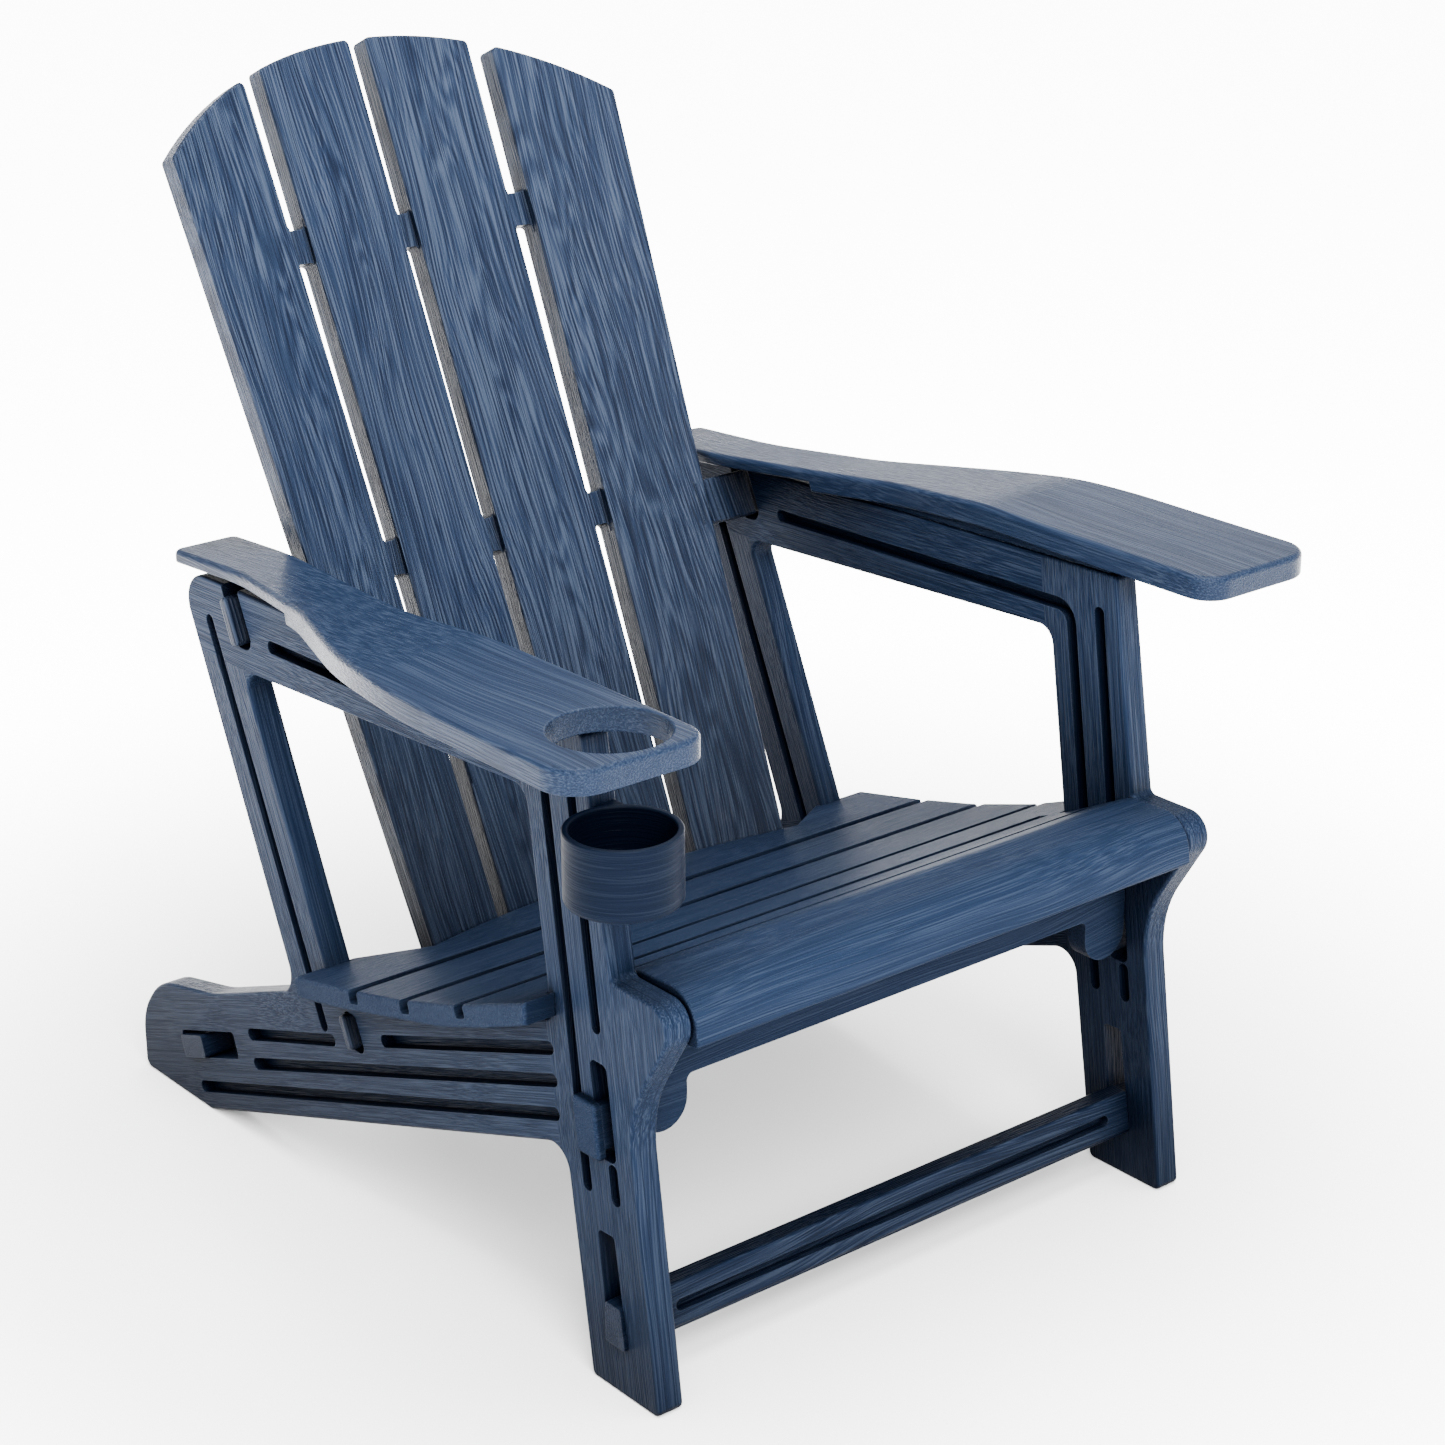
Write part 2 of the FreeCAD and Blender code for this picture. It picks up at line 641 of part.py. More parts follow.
def make_back():
    label = "back_panel"
    body = new_body(label)
    low_section = sketch_on(body, "back_low_section", "plan",
                            [hollow_section(size("back_low_radius"))], SHEET + ".back_bottom")
    high_section = sketch_on(body, "back_high_section", "plan",
                             [hollow_section(size("back_high_radius"))], SHEET + ".back_top")
    blank = body.newObject("PartDesign::AdditiveLoft", "back_blank")
    blank.Profile = low_section
    blank.Sections = [high_section]
    blank.Ruled = True
    doc.recompute()
    around = sketch_on(body, "back_outline", "front", outside_back())
    pocket(body, around, "%g" % RIGHT_THROUGH, middle=True)
    gaps = sketch_on(body, "back_gaps", "front", gap_outlines())
    pocket(body, gaps, "%g" % RIGHT_THROUGH, middle=True)
    fillet(body, "back_corner_rounds", SHEET + ".slat_corner_round", is_slat_corner)
    fillet(body, "back_slat_rounds", SHEET + ".slat_edge_round", is_slat_front_edge)
    for number, (low, high) in enumerate(BRIDGES):
        recess = sketch_on(body, "back_recess%d" % number, "plan",
                           bridge_recess_sections(0.5 * (low + high)), "%g" % (low - 8.0))
        pocket(body, recess, "%g" % (high - low + 16.0), reverse=True)
    for number, side in enumerate(SIDES):
        wing = sketch_on(body, "back_wing%d" % number, "side", [outline(wing_side_view())],
                         "%g" % (side * WING_START))
        pad(body, wing, "%s.frame_half_width - %s.frame_thickness - %g - 0.5"
            % (SHEET, SHEET, WING_START), reverse=side < 0)
        hook = sketch_on(body, "back_upper_hook%d" % number, "side", [outline(upper_hook())],
                         "%g" % (side * UPPER_HOOK_START))
        pad(body, hook, "%s.frame_half_width + %s.hook_proud - %g"
            % (SHEET, SHEET, UPPER_HOOK_START), reverse=side < 0)
        tab = sketch_on(body, "back_lower_hook%d" % number, "side", [outline(lower_hook())],
                        "%g" % (side * LOWER_HOOK_START))
        pad(body, tab, "%s.frame_half_width + %s.hook_proud - %g"
            % (SHEET, SHEET, LOWER_HOOK_START), reverse=side < 0)
    tip = size("frame_half_width") + size("hook_proud")
    fillet(body, "back_hook_rounds", SHEET + ".hook_round", lambda edge: is_in_side_face(edge, tip))
    body.setExpression("Placement.Base.y", SHEET + ".back_foot")
    body.setExpression("Placement.Rotation.Axis.x", "1")
    body.setExpression("Placement.Rotation.Axis.z", "0")
    body.setExpression("Placement.Rotation.Angle", "-1 * %s.back_slope" % SHEET)
    return body


def is_slat_corner(edge):
    """An edge through the thickness of a slat, at one end of its arched top."""
    box = edge.BoundBox
    return box.ZMin > 880.0 and box.ZLength < 1.0 and box.YLength > 15.0


def is_slat_front_edge(edge):
    """A long or arched edge where a slat's front face meets its side or its top."""
    middle = edge.valueAt((edge.FirstParameter + edge.LastParameter) / 2.0)
    off_face = middle.y + hollow_depth(middle.x, middle.z)
    return abs(off_face) < 1.0 and edge.Length > 20.0 and edge.BoundBox.ZMax > 200.0


def bridge_recess_sections(height):
    """Plan sections cut from the front of the bridges, one to each gap."""
    recess = size("bridge_recess")
    centre, outer_low, outer_high, _ = slat_edges(height)
    spans = [(-centre, centre), (outer_low, outer_high), (-outer_high, -outer_low)]
    shapes = []
    for start, end in spans:
        front = -max(hollow_depth(start, height), hollow_depth(end, height)) - 12.0
        rear = recess - hollow_depth(0.5 * (start + end), height)
        shapes.append(outline([(start, rear), (end, rear), (end, front), (start, front)]))
    return shapes


def wing_side_view():
    """Side view of the short wing between the outer slat and a side frame."""
    low, high = WING
    return [(-35.0, low, 3), (-16.0, low, 3), (-16.0, high, 3), (-35.0, high, 3)]


def lower_hook():
    """Side view of the tab near the foot of the back that passes through a side frame."""
    return [(-28.4, 163.5, 4), (-18.4, 163.5, 4), (-18.4, 194.0, 4), (-28.4, 194.0, 4)]


# ---------------------------------------------------------------- armrests

ARM_FRONT = -413.0
ARM_TAIL = 268.0
ARM_STEP = 60.0
ARM_LEVEL_END = -150.0
ARM_STEP_TOP = 545.5
ARM_TAIL_TOP = 532.0
ARM_BLANK_INNER = 200.0
ABOVE_ARM = 600.0
ARM_RIB = (-294.0, 50.0)
CUP_HOLE_CENTRE = (303.5, -360.0)


def arm_top_line():
    """Side view of the armrest's top: level in front, then a gentle fall to the rear."""
    top = size("arm_top")
    return [(ARM_FRONT, top), (ARM_LEVEL_END, top, 500), (ARM_STEP, ARM_STEP_TOP, 300),
            (ARM_TAIL, ARM_TAIL_TOP)]


def arm_side_view():
    """Full-depth skirt in front of the step and a thin tail behind it."""
    top = size("arm_top")
    skirt = size("arm_skirt")
    tail = size("arm_tail_thickness")
    under = [(ARM_TAIL, ARM_TAIL_TOP - tail), (ARM_STEP, ARM_STEP_TOP - tail, 1),
             (ARM_STEP - 3.0, ARM_STEP_TOP + 0.3 - skirt, 2), (ARM_LEVEL_END, top - skirt, 480),
             (ARM_FRONT, top - skirt)]
    return outline(arm_top_line() + under)


def arm_plan(side):
    """Broad at the front, waisted on both edges, narrow at the rear."""
    edge = size("arm_half_width")
    corners = [
        (252, ARM_FRONT, 24), (edge, ARM_FRONT, 32), (edge, -145, 500), (312, 34, 260),
        (287, 160, 300), (287, ARM_TAIL, 9), (224, ARM_TAIL, 9), (224, 178, 300), (257, -40, 300),
        (252, -230, 400),
    ]
    return outline([(side * x, y) + tuple(rest) for x, y, *rest in corners])


def arm_rib():
    """Side view of the rib under the armrest that stands on the side frame's top edge."""
    front, rear = ARM_RIB
    return [(front, frame_top(front) + 0.3), (rear, frame_top(rear) + 0.3),
            (rear, ARM_STEP_TOP - 14.0), (front, size("arm_top") - 14.0)]


def make_armrest(label, side, with_cup):
    body = new_body(label)
    profile = sketch_on(body, label + "_profile", "side", [arm_side_view()],
                        "%g" % (side * ARM_BLANK_INNER))
    pad(body, profile, "%s.arm_half_width - %g" % (SHEET, ARM_BLANK_INNER - 10.0),
        reverse=side < 0)
    wide = [(190, -450), (400, -450), (400, 300), (190, 300)]
    around = sketch_on(body, label + "_plan", "plan",
                       [arm_plan(side), outline([(side * x, y) for x, y in wide])],
                       "%g" % ABOVE_ARM)
    pocket(body, around)
    fillet(body, label + "_top_round", SHEET + ".arm_round", is_arm_top_edge)
    fillet(body, label + "_under_round", SHEET + ".arm_under_round", is_arm_under_edge)
    if with_cup:
        across, depth = CUP_HOLE_CENTRE
        circle = [Part.Circle(FreeCAD.Vector(side * across, depth, 0), FreeCAD.Vector(0, 0, 1),
                              size("cup_hole_radius"))]
        hole = sketch_on(body, label + "_drink_hole", "plan", [circle], "%g" % ABOVE_ARM)
        bind_radius(hole, 0, SHEET + ".cup_hole_radius")
        pocket(body, hole)
        fillet(body, label + "_hole_round", SHEET + ".rim_round",
               lambda edge: is_round(edge, size("cup_hole_radius")))
    middle = side * (size("frame_half_width") - size("frame_thickness") / 2.0)
    rib = sketch_on(body, label + "_rib", "side", [outline(arm_rib())], "%g" % middle)
    pad(body, rib, "%s.frame_thickness - 6" % SHEET, middle=True)
    for number, depth in enumerate(ARM_TENONS):
        width, length, sink = ARM_TENON
        gap = size("tenon_gap")
        low = frame_top(depth) - sink
        tenon = [(depth - length / 2 + gap, low), (depth + length / 2 - gap, low),
                 (depth + length / 2 - gap, low + sink + 10), (depth - length / 2 + gap, low + sink + 10)]
        sketch = sketch_on(body, "%s_tenon%d" % (label, number), "side", [outline(tenon)],
                           "%g" % middle)
        pad(body, sketch, "%g - 2 * %s.tenon_gap" % (width, SHEET), middle=True)
    return body


def edge_middle(edge):
    """Depth and height of an edge's middle."""
    middle = edge.valueAt((edge.FirstParameter + edge.LastParameter) / 2.0)
    return middle.y, middle.z


def arm_top_height(depth):
    """Height of the armrest's top at a depth, ignoring the easing at its two bends."""
    runs = arm_top_line()
    for front, rear in zip(runs, runs[1:]):
        if front[0] - 0.01 <= depth <= rear[0] + 0.01:
            share = (depth - front[0]) / (rear[0] - front[0])
            return front[1] + share * (rear[1] - front[1])
    return runs[-1][1]


def is_upright(edge):
    box = edge.BoundBox
    return box.ZLength > 5.0 and math.hypot(box.XLength, box.YLength) < 0.5


def is_crosswise(edge):
    """An edge that only crosses the armrest where two runs of its faces meet."""
    box = edge.BoundBox
    return box.YLength < 0.01 and ARM_FRONT + 1.0 < box.YMin < ARM_TAIL - 1.0


def is_arm_top_edge(edge):
    depth, height = edge_middle(edge)
    return abs(height - arm_top_height(depth)) < 2.0 and not is_upright(edge) and not is_crosswise(edge)


def is_arm_under_edge(edge):
    depth, height = edge_middle(edge)
    below = arm_top_height(depth) - height
    thickness = size("arm_tail_thickness") if depth > ARM_STEP + 2.0 else size("arm_skirt")
    return abs(below - thickness) < 2.0 and depth < ARM_STEP - 4.0 and not is_upright(edge) \
        and not is_crosswise(edge)


# ---------------------------------------------------------------- cup

CUP_CENTRE = (-297.0, -365.0)
CUP_LOW = 430.0


def circle_at(centre, radius):
    return Part.Circle(FreeCAD.Vector(centre[0], centre[1], 0), FreeCAD.Vector(0, 0, 1), radius)


def make_cup():
    label = "cup_holder"
    body = new_body(label)
    wall = sketch_on(body, "cup_wall", "plan", [[circle_at(CUP_CENTRE, size("cup_radius"))]],
                     "%g" % CUP_LOW)
    bind_radius(wall, 0, SHEET + ".cup_radius")
    pad(body, wall, SHEET + ".cup_height")
    fillet(body, "cup_foot_round", SHEET + ".cup_foot_round",
           lambda edge: abs(edge.BoundBox.ZMax - CUP_LOW) < 0.01)
    middle = -(size("frame_half_width") - size("frame_thickness") / 2.0)
    low = CUP_LOW + 7.0
    high = CUP_LOW + size("cup_height") - 5.0
    saddle = [(-350, low, 2), (post_front(low) - 0.4, low), (post_front(high) - 0.4, high),
              (-350, high, 2)]
    sketch = sketch_on(body, "cup_saddle", "side", [outline(saddle)], "%g" % middle)
    pad(body, sketch, SHEET + ".frame_thickness - 4", middle=True)
    width, tall, sink = CUP_TENON
    gap = size("tenon_gap")
    front = post_front(CUP_TENON_HEIGHT)
    tenon = leaning_slot((front - 5.0 + 0.5 * sink, CUP_TENON_HEIGHT), sink + 9.0,
                         tall - 2.0 * gap, LEG_LEAN, 0)
    sketch = sketch_on(body, "cup_tenon", "side", [outline(tenon)], "%g" % middle)
    pad(body, sketch, "%g - 2 * %s.tenon_gap" % (width, SHEET), middle=True)
    hollow = sketch_on(body, "cup_hollow", "plan",
                       [[circle_at(CUP_CENTRE, size("cup_inner_radius"))]],
                       "%g + %s.cup_height" % (CUP_LOW, SHEET))
    bind_radius(hollow, 0, SHEET + ".cup_inner_radius")
    pocket(body, hollow, "%s.cup_height - %s.cup_floor" % (SHEET, SHEET))
    rim = CUP_LOW + size("cup_height")
    fillet(body, "cup_rim_round", SHEET + ".rim_round", lambda edge: abs(edge.BoundBox.ZMin - rim) < 0.01)
    return body


# ---------------------------------------------------------------- bars between the frames

FRONT_BAR_LEAN = 0.16
FRONT_BAR_LOW = 44.0
FRONT_BAR_HIGH = 80.0
FRONT_BAR_FACE = -346.0
FRONT_BAR_GROOVE_HALF = 236.0


def front_bar_view():
    """Side view of the front bar, which leans with the front legs."""
    shift = FRONT_BAR_LEAN * (FRONT_BAR_HIGH - FRONT_BAR_LOW)
    front = FRONT_BAR_FACE
    rear = FRONT_BAR_FACE + 19.0
    return [(front, FRONT_BAR_LOW, 3), (rear, FRONT_BAR_LOW, 3),
            (rear + shift, FRONT_BAR_HIGH, 3), (front + shift, FRONT_BAR_HIGH, 3)]


def make_front_bar():
    label = "front_stretcher"
    body = new_body(label)
    bar = sketch_on(body, "front_bar", "side", [outline(front_bar_view())])
    pad(body, bar, "2 * %s.bar_half_length" % SHEET, middle=True)
    tenon = sketch_on(body, "front_tenon", "side", [outline(front_tenon_view())])
    pad(body, tenon, "2 * (%s.frame_half_width + 3)" % SHEET, middle=True)
    middle = (FRONT_BAR_LOW + FRONT_BAR_HIGH) / 2.0
    half = FRONT_BAR_GROOVE_HALF
    groove = sketch_on(body, "front_bar_groove", "front",
                       [pill((-half, middle), (half, middle), 9.5)], "%g" % -FRONT_BAR_FACE)
    pocket(body, groove, "%s.bar_groove_depth + 3" % SHEET)
    return body


def front_tenon_view():
    """Side view of the bar's ends, which fill the lower part of the front windows."""
    gap = size("tenon_gap")
    lean = 0.17
    low = WINDOW_LOW + gap
    return [(-345.5 + gap, low, 2), (-320.5 - gap, low, 2), (-320.5 - gap, 77.0, 2),
            (-345.5 + gap + lean * 34.0, 77.0, 2)]


def rear_bar_view(length, thickness):
    """Side view of the rear bar, which lies along the slope of the lower rails."""
    along = FreeCAD.Vector(1.0, RAIL_SLOPE, 0).normalize()
    across = FreeCAD.Vector(-along.y, along.x, 0)
    centre = FreeCAD.Vector(286.0, 57.5, 0)
    corners = []
    for right, high in ((-1, -1), (1, -1), (1, 1), (-1, 1)):
        point = centre + along * (right * length / 2.0) + across * (high * thickness / 2.0)
        corners.append((point.x, point.y, 3))
    return corners


def make_rear_bar():
    label = "rear_stretcher"
    body = new_body(label)
    bar = sketch_on(body, "rear_bar", "side", [outline(rear_bar_view(44.0, 26.0))])
    pad(body, bar, "2 * %s.bar_half_length" % SHEET, middle=True)
    tenon = sketch_on(body, "rear_tenon", "side", [outline(rear_bar_view(38.0, 21.0))])
    pad(body, tenon, "2 * (%s.frame_half_width + 4)" % SHEET, middle=True)
    return body


# ---------------------------------------------------------------- build and write

def build():
    return [
        make_side_frame("side_frame_right", -1, True),
        make_side_frame("side_frame_left", 1, False),
        make_seat(),
        make_back(),
        make_armrest("armrest_right", -1, True),
        make_armrest("armrest_left", 1, False),
        make_cup(),
        make_front_bar(),
        make_rear_bar(),
    ]


def check_document():
    for item in doc.Objects:
        if "Invalid" in item.State or "Error" in item.State:
            raise RuntimeError("%s failed" % item.Name)


def write(bodies):
    os.makedirs("parts", exist_ok=True)
    for body in bodies:
        if body.Shape.isNull() or not body.Shape.isValid():
            raise RuntimeError("%s has no valid shape" % body.Label)
    for body in bodies:
        body.Shape.exportStep("parts/%s.step" % body.Label)
        box = body.Shape.BoundBox
        print("%-18s solids %d  x %.1f..%.1f  y %.1f..%.1f  z %.1f..%.1f" % (
            body.Label, len(body.Shape.Solids), box.XMin, box.XMax, box.YMin, box.YMax,
            box.ZMin, box.ZMax))


parts = build()
doc.recompute()
check_document()
write(parts)
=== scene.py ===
import math

import bpy
from mathutils import Matrix, Vector


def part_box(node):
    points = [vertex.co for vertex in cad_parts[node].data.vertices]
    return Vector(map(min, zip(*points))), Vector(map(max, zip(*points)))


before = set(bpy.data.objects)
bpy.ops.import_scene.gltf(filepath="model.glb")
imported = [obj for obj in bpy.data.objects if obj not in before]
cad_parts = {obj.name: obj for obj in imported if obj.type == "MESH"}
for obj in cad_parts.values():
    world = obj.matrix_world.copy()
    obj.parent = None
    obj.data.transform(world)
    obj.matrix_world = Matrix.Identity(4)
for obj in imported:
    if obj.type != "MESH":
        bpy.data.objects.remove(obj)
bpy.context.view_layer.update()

# ---------------------------------------------------------------- directions the grain runs in
# How far the leg and the upright lean back for each metre up, and the rails fall for each metre back.

LEG_LEAN = 0.14
UPRIGHT_LEAN = 0.454
RAIL_FALL = 0.357
TOP_RAIL_FALL = 0.033

# The turn about X that lays each member's length on +Z.
QUARTER_TURN = math.radians(90.0)
LEG_TURN = math.atan(LEG_LEAN)
UPRIGHT_TURN = math.atan(UPRIGHT_LEAN)
RAIL_TURN = QUARTER_TURN + math.atan(RAIL_FALL)
TOP_RAIL_TURN = QUARTER_TURN + math.atan(TOP_RAIL_FALL)
BACK_TURN = math.radians(24.6)

# Where the grain changes over on a side frame: the leg's rear edge and the upright's front edge at
# ground level, the lower rail's top at the origin, and the underside of the rail under the armrest.
LEG_REAR = -0.290
UPRIGHT_FRONT = -0.040
RAIL_TOP = 0.225
TOP_RAIL_LOW = 0.452

# The middle of a side frame's thickness, from its box, and how far its mould lines lie from it.
FRAME_LOW, FRAME_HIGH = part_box("side_frame_left")
FRAME_MIDDLE = 0.5 * (FRAME_LOW.x + FRAME_HIGH.x)
PARTING_OFFSET = 0.0045
PARTING_HALF_WIDTH = 0.0005

# The slats on each side of the back: the gap between them, and the middle of each from that gap.
OUTER_GAP_PLACE = 0.1035
SLAT_MIDDLE = 0.047

# Sizes of the grain, in noise cells for each metre, and how much a streak is drawn out.
FINE_STREAKS = 800.0
BROAD_STREAKS = 104.0
STREAK_LENGTH_RATIO = 0.009
ARCH_SPACING = 0.0034

# The share of the noise's span that the figure of the grain fills.
GRAIN_LOW = 0.32
GRAIN_HIGH = 0.68

# Plastic colours: painted shade for sheltered places, the grain from the bottom of a groove to the top
# of a ridge, and a painted highlight for the edges.
PAINTED_SHADE = (0.0003, 0.0008, 0.0026)
VALLEY = (0.0012, 0.0027, 0.0075)
BODY = (0.0040, 0.0078, 0.0180)
RIDGE = (0.0160, 0.0225, 0.0370)
PAINTED_EDGE_HIGHLIGHT = (0.0240, 0.0330, 0.0520)


# ---------------------------------------------------------------- shader graph helpers

class Graph:
    """Adds shader nodes to one material and wires them together."""

    def __init__(self, material):
        material.use_nodes = True
        self.tree = material.node_tree
        self.shader = self.tree.nodes["Principled BSDF"]
        coordinates = self.tree.nodes.new("ShaderNodeTexCoord")
        self.place = coordinates.outputs["Object"]

    def link(self, source, socket):
        if isinstance(source, bpy.types.NodeSocket):
            self.tree.links.new(source, socket)
        else:
            socket.default_value = source

    def math(self, operation, first, second=0.0):
        node = self.tree.nodes.new("ShaderNodeMath")
        node.operation = operation
        self.link(first, node.inputs[0])
        self.link(second, node.inputs[1])
        return node.outputs[0]

    def line(self, value, slope, offset):
        """The value times a slope, plus an offset."""
        return self.math("ADD", self.math("MULTIPLY", value, slope), offset)

    def length(self, first, second):
        """How long a flat step of two parts is."""
        squares = self.math("ADD", self.math("MULTIPLY", first, first),
                            self.math("MULTIPLY", second, second))
        return self.math("SQRT", squares)

    def split(self, place):
        node = self.tree.nodes.new("ShaderNodeSeparateXYZ")
        self.link(place, node.inputs[0])
        return node.outputs

    def join(self, across, deep, along):
        node = self.tree.nodes.new("ShaderNodeCombineXYZ")
        for source, socket in zip((across, deep, along), node.inputs):
            self.link(source, socket)
        return node.outputs[0]

    def turned(self, place, angle, axis="X"):
        """Turn coordinates about an axis, so that a member's length lies on +Z."""
        node = self.tree.nodes.new("ShaderNodeVectorRotate")
        node.rotation_type = axis + "_AXIS"
        self.link(place, node.inputs["Vector"])
        node.inputs["Angle"].default_value = angle
        return node.outputs[0]

    def scaled(self, place, across, deep, along):
        node = self.tree.nodes.new("ShaderNodeMapping")
        self.link(place, node.inputs["Vector"])
        node.inputs["Scale"].default_value = (across, deep, along)
        return node.outputs[0]

    def noise(self, place, scale, detail=2.0, roughness=0.5):
        node = self.tree.nodes.new("ShaderNodeTexNoise")
        self.link(place, node.inputs["Vector"])
        node.inputs["Scale"].default_value = scale
        node.inputs["Detail"].default_value = detail
        node.inputs["Roughness"].default_value = roughness
        return node.outputs[0]

    def ramp(self, value, low, high):
        """Stretch a value between two stops to 0..1."""
        node = self.tree.nodes.new("ShaderNodeMapRange")
        node.interpolation_type = "SMOOTHSTEP"
        self.link(value, node.inputs["Value"])
        node.inputs["From Min"].default_value = low
        node.inputs["From Max"].default_value = high
        return node.outputs[0]

    def mix(self, share, first, second):
        """Value between two values."""
        node = self.tree.nodes.new("ShaderNodeMix")
        node.data_type = "FLOAT"
        self.link(share, node.inputs[0])
        self.link(first, node.inputs[2])
        self.link(second, node.inputs[3])
        return node.outputs[0]

    def mix_colour(self, share, first, second):
        node = self.tree.nodes.new("ShaderNodeMix")
        node.data_type = "RGBA"
        self.link(share, node.inputs[0])
        for source, socket in ((first, node.inputs[6]), (second, node.inputs[7])):
            self.link(source + (1.0,) if isinstance(source, tuple) else source, socket)
        return node.outputs[2]


# ---------------------------------------------------------------- wood grain

def streaks(graph, place):
    """Long broken lines of embossed grain that run along +Z of the given coordinates."""
    wander = graph.noise(graph.scaled(place, 1.0, 1.0, 0.35), 9.0, 1.0)
    across, deep, along = graph.split(place)
    shifted = graph.math("ADD", across, graph.math("MULTIPLY", wander, 0.05))
    bent = graph.join(shifted, deep, graph.math("MULTIPLY", along, STREAK_LENGTH_RATIO))
    fine = graph.noise(bent, FINE_STREAKS, 1.0, 0.6)
    broad = graph.noise(bent, BROAD_STREAKS, 1.0)
    return graph.mix(0.15, fine, broad)


def cathedral(graph, across, along, start, taper):
    """Nested arches like a plain-sawn board's, around the line where across is nought."""
    flat = graph.join(across, 0.0, graph.math("MULTIPLY", along, 0.2))
    wobble = graph.math("MULTIPLY", graph.noise(flat, 26.0, 2.0), 0.03)
    bent = graph.math("ADD", graph.line(along, taper, start), wobble)
    turns = graph.math("MULTIPLY", graph.length(across, bent), 2.0 * math.pi / ARCH_SPACING)
    return graph.line(graph.math("SINE", turns), 0.5, 0.5)


def parting_lines(graph):
    """Two fine mould lines round a side frame's edges, either side of its middle."""
    across, _, _ = graph.split(graph.place)
    from_middle = graph.math("SUBTRACT", graph.math("ABSOLUTE", across), FRAME_MIDDLE)
    from_line = graph.math("SUBTRACT", graph.math("ABSOLUTE", from_middle), PARTING_OFFSET)
    return graph.math("LESS_THAN", graph.math("ABSOLUTE", from_line), PARTING_HALF_WIDTH)


def frame_grain(graph):
    """Grain along each member of a side frame, changed over where the members meet."""
    _, depth, height = graph.split(graph.place)
    leg = streaks(graph, graph.turned(graph.place, LEG_TURN))
    upright = streaks(graph, graph.turned(graph.place, UPRIGHT_TURN))
    rail = streaks(graph, graph.turned(graph.place, RAIL_TURN))
    top_rail = streaks(graph, graph.turned(graph.place, TOP_RAIL_TURN))
    in_leg = graph.math("LESS_THAN", depth, graph.line(height, LEG_LEAN, LEG_REAR))
    behind = graph.math("GREATER_THAN", depth, graph.line(height, UPRIGHT_LEAN, UPRIGHT_FRONT))
    above = graph.math("GREATER_THAN", height, graph.line(depth, -RAIL_FALL, RAIL_TOP))
    in_upright = graph.math("MULTIPLY", behind, above)
    in_top = graph.math("GREATER_THAN", height, TOP_RAIL_LOW)
    grain = graph.mix(in_upright, rail, upright)
    grain = graph.mix(in_top, grain, top_rail)
    grain = graph.mix(in_leg, grain, leg)
    return graph.mix(parting_lines(graph), grain, GRAIN_LOW)


def back_grain(graph):
    """Slats: arches around each slat's middle, broken up by long streaks."""
    place = graph.turned(graph.place, BACK_TURN)
    across, deep, along = graph.split(place)
    from_gap = graph.math("ADD", graph.math("ABSOLUTE", across), -OUTER_GAP_PLACE)
    from_middle = graph.math("ADD", graph.math("ABSOLUTE", from_gap), -SLAT_MIDDLE)
    side_shift = graph.math("MULTIPLY", graph.math("SIGN", across), 0.31)
    slat_shift = graph.math("MULTIPLY", graph.math("SIGN", from_gap), 0.17)
    shifted = graph.math("ADD", along, graph.math("ADD", side_shift, slat_shift))
    arches = cathedral(graph, from_middle, shifted, start=-0.02, taper=0.05)
    return graph.mix(0.10, streaks(graph, place), arches)


def crosswise_grain(graph):
    """Seat boards and stretchers: grain along X."""
    return streaks(graph, graph.turned(graph.place, QUARTER_TURN, "Y"))


def arm_grain(graph):
    """Armrests: grain along Y."""
    return streaks(graph, graph.turned(graph.place, QUARTER_TURN))


def cup_grain(graph):
    """Cup: fine level rings."""
    across, deep, along = graph.split(graph.place)
    level = graph.join(graph.math("MULTIPLY", across, 0.02),
                       graph.math("MULTIPLY", deep, 0.02), along)
    return graph.noise(level, FINE_STREAKS, 1.0)


# ---------------------------------------------------------------- plastic

# How far the painted shade looks for things around a point, the width of the painted edge highlight,
# the radius edges are eased over, and the depth of the embossing.
PAINTED_SHADE_REACH = 0.45
EDGE_HIGHLIGHT_WIDTH = 0.0022
EDGE_ROUND = 0.0014
EMBOSSING_DEPTH = 0.0006


def painted_shade_openness(graph):
    """How open a point is to its surroundings: 0 deep inside, 1 in the open. The colour is darkened by
    it as painted shade.
    """
    node = graph.tree.nodes.new("ShaderNodeAmbientOcclusion")
    node.samples = 6
    node.inputs["Distance"].default_value = PAINTED_SHADE_REACH
    return graph.ramp(node.outputs["AO"], 0.2, 0.95)


def rounded(graph, radius):
    """Surface direction with every sharp edge eased over a radius."""
    node = graph.tree.nodes.new("ShaderNodeBevel")
    node.samples = 4
    node.inputs["Radius"].default_value = radius
    return node.outputs["Normal"]


def near_edge(graph):
    """1 on the very edges of a piece and 0 on its faces: where the painted edge highlight goes."""
    geometry = graph.tree.nodes.new("ShaderNodeNewGeometry")
    match = graph.tree.nodes.new("ShaderNodeVectorMath")
    match.operation = "DOT_PRODUCT"
    graph.link(rounded(graph, EDGE_HIGHLIGHT_WIDTH), match.inputs[0])
    graph.link(geometry.outputs["True Normal"], match.inputs[1])
    return graph.ramp(graph.math("SUBTRACT", 1.0, match.outputs["Value"]), 0.03, 0.25)


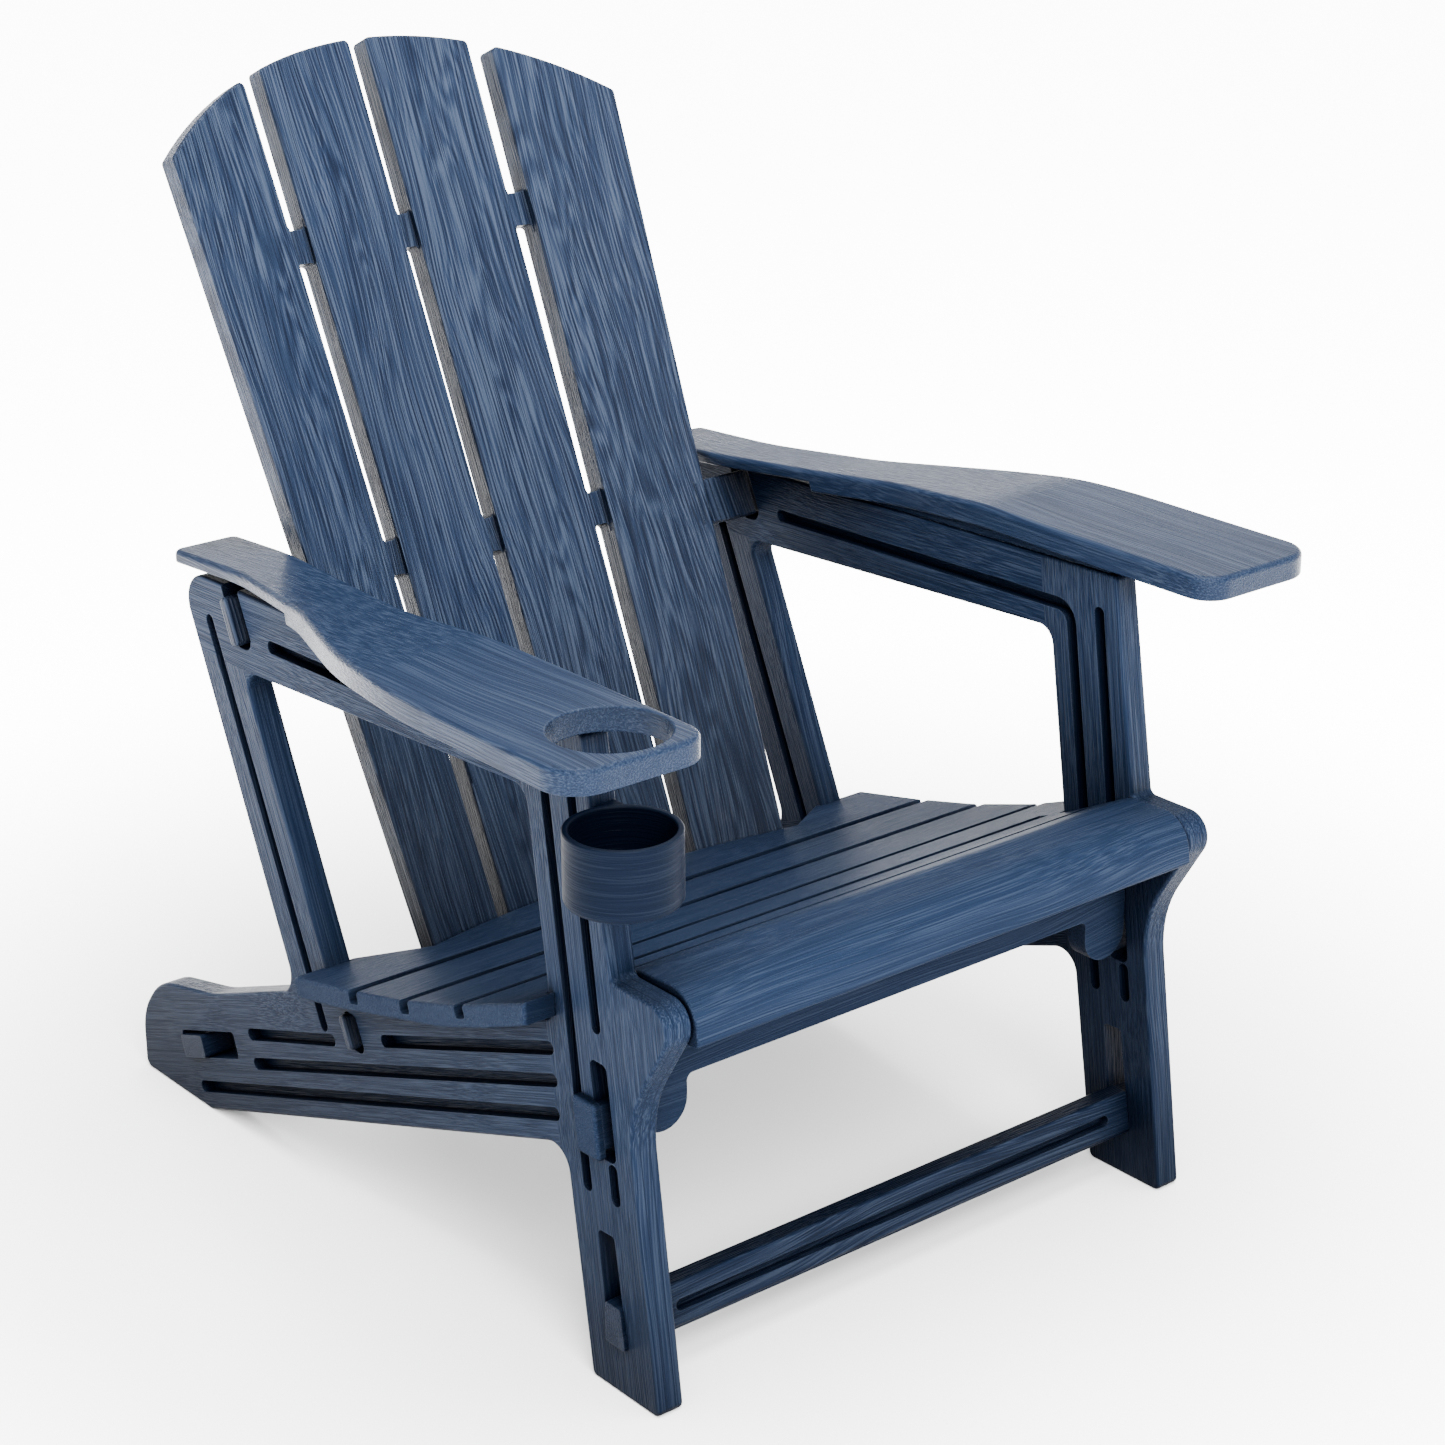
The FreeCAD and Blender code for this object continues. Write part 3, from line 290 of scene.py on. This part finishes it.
def moulded_plastic(name, grain, contrast=0.7, relief=0.8, roughness=0.42, gloss_level=0.02,
                    shade=0.0):
    """Navy plastic: dark in the grain, darker where it is sheltered as painted shade, lighter on
    ridges, and lighter on edges as a painted highlight.

    Contrast and relief are the grain's strength in colour and in bump, and shade darkens all of it
    with more painted shade.
    """
    material = bpy.data.materials.new(name)
    graph = Graph(material)
    height = graph.ramp(grain(graph), GRAIN_LOW, GRAIN_HIGH)
    patches = graph.noise(graph.place, 7.0, 3.0)
    blended = graph.mix(contrast, 0.5, height)
    dark = graph.mix_colour(graph.ramp(blended, 0.0, 0.5), VALLEY, BODY)
    colour = graph.mix_colour(graph.ramp(blended, 0.45, 1.0), dark, RIDGE)
    # Painted highlight: the edges are lightened, standing in for sheen on their rounding.
    colour = graph.mix_colour(graph.math("MULTIPLY", near_edge(graph), 0.5), colour, PAINTED_EDGE_HIGHLIGHT)
    # Painted shade: the colour goes towards near-black navy where other parts close in around a point,
    # and over the whole piece by shade.
    light_share = graph.math("MULTIPLY", painted_shade_openness(graph), 1.0 - shade)
    colour = graph.mix_colour(light_share, PAINTED_SHADE, colour)
    graph.link(colour, graph.shader.inputs["Base Color"])
    uneven = graph.line(patches, 0.10, roughness - 0.05)
    polished = graph.math("SUBTRACT", uneven, graph.math("MULTIPLY", blended, 0.08))
    graph.link(polished, graph.shader.inputs["Roughness"])
    graph.shader.inputs["Specular IOR Level"].default_value = gloss_level
    bump = graph.tree.nodes.new("ShaderNodeBump")
    bump.inputs["Strength"].default_value = relief
    bump.inputs["Distance"].default_value = EMBOSSING_DEPTH
    graph.link(height, bump.inputs["Height"])
    graph.link(rounded(graph, EDGE_ROUND), bump.inputs["Normal"])
    graph.link(bump.outputs["Normal"], graph.shader.inputs["Normal"])
    return material


def finish_nodes():
    """Give every CAD node its plastic."""
    frame_finish = moulded_plastic("frame_grain", frame_grain, 0.55, gloss_level=0.013)
    bar_finish = moulded_plastic("bar_grain", crosswise_grain)
    arm_finish = moulded_plastic("arm_grain", arm_grain, 0.5, 0.4, 0.34, 0.036)
    seat_finish = moulded_plastic("seat_grain", crosswise_grain, 0.4, roughness=0.62,
                                  gloss_level=0.014)
    back_finish = moulded_plastic("back_grain", back_grain, 0.9, gloss_level=0.04)
    # The cup is darkened all over with painted shade.
    cup_finish = moulded_plastic("cup_grain", cup_grain, 0.4, 0.4, gloss_level=0.012, shade=0.76)
    finishes = {
        "side_frame_right": frame_finish,
        "side_frame_left": frame_finish,
        "seat_panel": seat_finish,
        "back_panel": back_finish,
        "armrest_right": arm_finish,
        "armrest_left": arm_finish,
        "cup_holder": cup_finish,
        "front_stretcher": bar_finish,
        "rear_stretcher": bar_finish,
    }
    for node, material in finishes.items():
        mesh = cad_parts[node].data
        for index in range(len(mesh.materials)):
            mesh.materials[index] = material


# ---------------------------------------------------------------- camera, floor and lights

SENSOR = 36.0
LENS = 82.24
CAMERA_AZIMUTH = math.radians(-39.28)
CAMERA_ELEVATION = math.radians(21.33)
CAMERA_ROLL = math.radians(-0.26)
CAMERA_PLACE = Vector((-1.6027, -2.0734, 1.4056))

FLOOR_SIZE = 100.0
FLOOR_ALBEDO = 0.80
# The floor's painted glow: none near the chair, rising to full strength between the two distances.
PAINTED_FLOOR_GLOW = 10.0
GLOW_START = 0.45
GLOW_FULL = 1.4
SKY_STRENGTH = 2.5


def make_camera():
    data = bpy.data.cameras.new("camera")
    data.lens = LENS
    data.sensor_width = SENSOR
    data.clip_end = FLOOR_SIZE
    camera = bpy.data.objects.new("camera", data)
    bpy.context.scene.collection.objects.link(camera)
    level = math.cos(CAMERA_ELEVATION)
    towards = Vector((-math.sin(CAMERA_AZIMUTH) * level, math.cos(CAMERA_AZIMUTH) * level,
                      -math.sin(CAMERA_ELEVATION)))
    turn = towards.to_track_quat("-Z", "Y").to_matrix().to_4x4()
    camera.matrix_world = Matrix.Translation(CAMERA_PLACE) @ turn @ Matrix.Rotation(CAMERA_ROLL, 4, "Z")
    bpy.context.scene.camera = camera


def make_floor():
    """Pale floor with painted light: it glows more and more away from the chair, up to white,
    so that it stays darker near the chair like a shadow.
    """
    bpy.ops.mesh.primitive_plane_add(size=FLOOR_SIZE)
    floor = bpy.context.object
    floor.name = "floor"
    material = bpy.data.materials.new("floor")
    graph = Graph(material)
    shader = graph.shader
    across, depth, _ = graph.split(graph.place)
    far_away = graph.ramp(graph.length(across, depth), GLOW_START, GLOW_FULL)
    painted_glow = graph.math("MULTIPLY", far_away, PAINTED_FLOOR_GLOW)
    shader.inputs["Base Color"].default_value = (FLOOR_ALBEDO, FLOOR_ALBEDO, FLOOR_ALBEDO, 1)
    shader.inputs["Roughness"].default_value = 0.9
    shader.inputs["Specular IOR Level"].default_value = 0.0
    shader.inputs["Emission Color"].default_value = (1, 1, 1, 1)
    graph.link(painted_glow, shader.inputs["Emission Strength"])
    floor.data.materials.append(material)


def make_area_light(name, place, aim, size, power):
    data = bpy.data.lights.new(name, "AREA")
    data.shape = "SQUARE"
    data.size = size
    data.energy = power
    light = bpy.data.objects.new(name, data)
    bpy.context.scene.collection.objects.link(light)
    light.location = place
    light.rotation_euler = (Vector(aim) - Vector(place)).to_track_quat("-Z", "Y").to_euler()


def make_lights():
    world = bpy.data.worlds.new("world")
    bpy.context.scene.world = world
    world.use_nodes = True
    background = world.node_tree.nodes["Background"]
    background.inputs["Color"].default_value = (1, 1, 1, 1)
    background.inputs["Strength"].default_value = SKY_STRENGTH
    make_area_light("overhead", (0.0, -0.3, 3.2), (0, 0, 0), 3.0, 520.0)
    make_area_light("key", (-1.3, -2.8, 2.4), (0, 0, 0.5), 1.6, 420.0)


finish_nodes()
make_camera()
make_floor()
make_lights()
